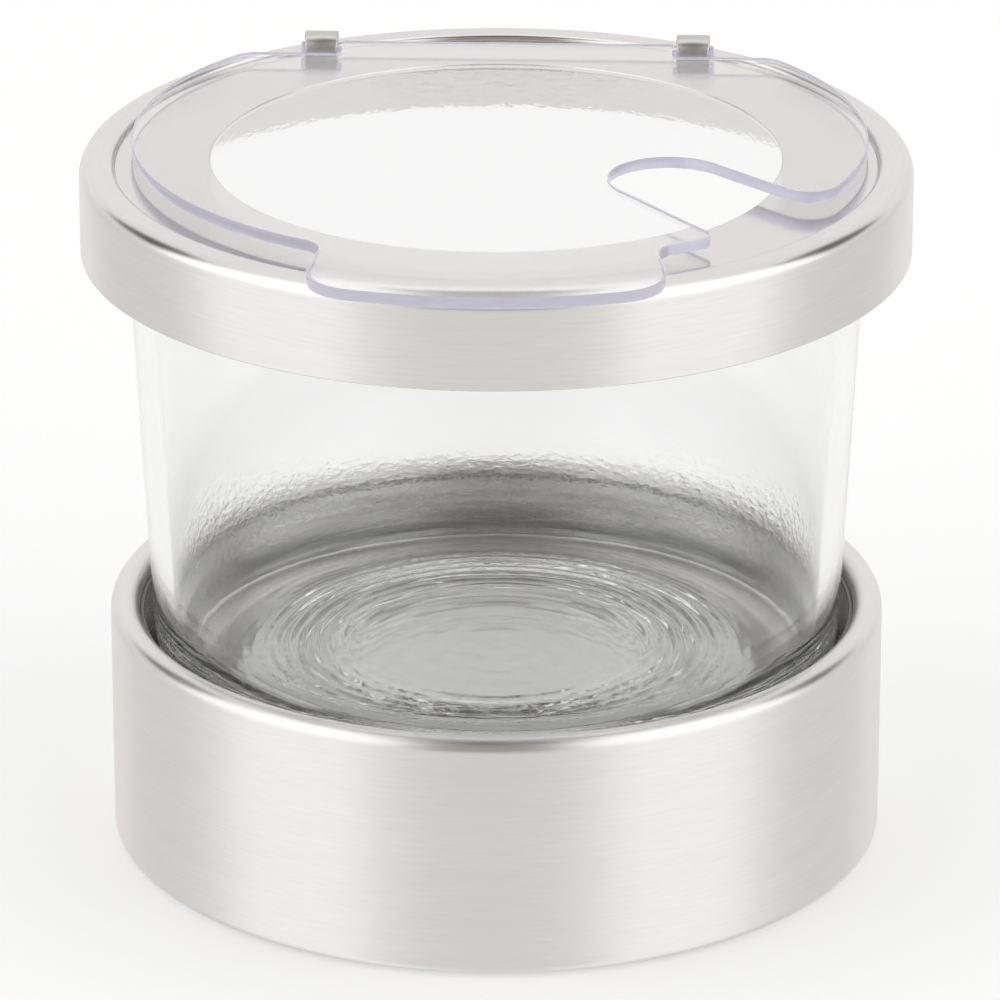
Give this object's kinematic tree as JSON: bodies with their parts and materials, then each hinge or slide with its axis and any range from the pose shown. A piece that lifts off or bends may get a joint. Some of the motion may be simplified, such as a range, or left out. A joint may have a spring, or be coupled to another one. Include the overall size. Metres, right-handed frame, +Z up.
{
  "type": "sugar bowl",
  "caption": "Round glass jar standing in a brushed steel base, closed by a steel collar with a hinged clear lid that has a thumb tab and a spoon notch.",
  "frame": {"origin": "centre of the underside, on the table", "axes": "+Z up along the jar axis, front with the thumb tab at -Y, hinge at +Y, +X to the right seen from the front"},
  "size_m": [0.1138, 0.1179, 0.1019],
  "materials": {
    "brushed_steel": "brushed round the axis",
    "clear_glass": "clear, polished",
    "clear_acrylic": "clear, polished, lavender cut edges",
    "silicone": "translucent matt silicone"
  },
  "bodies": {
    "base": {"base_outer_shell": "brushed_steel", "base_inner_cup": "brushed_steel", "base_bottom_plate": "brushed_steel", "jar_rest_ring": "silicone"},
    "jar": {"glass_jar": "clear_glass"},
    "gasket": {"collar_gasket": "silicone"},
    "collar": {"collar_shell": "brushed_steel", "hinge_knuckle_left": "brushed_steel", "hinge_knuckle_right": "brushed_steel"},
    "lid": {"lid": "clear_acrylic"}
  },
  "joints": [
    {"name": "jar_lift", "type": "slide", "parent": "base", "child": "jar", "axis": [0, 0, 1], "range_m": [0, 0.05]},
    {"name": "collar_turn", "type": "hinge", "parent": "jar", "child": "gasket", "pos_m": [0, 0, 0.0953], "axis": [0, 0, 1], "continuous": true},
    {"name": "collar_lift", "type": "slide", "parent": "gasket", "child": "collar", "axis": [0, 0, 1], "range_m": [0, 0.04]},
    {"name": "lid_hinge", "type": "hinge", "parent": "collar", "child": "lid", "pos_m": [0, 0.0423, 0.09932], "axis": [-1, 0, 0], "range_deg": [0, 175]}
  ]
}
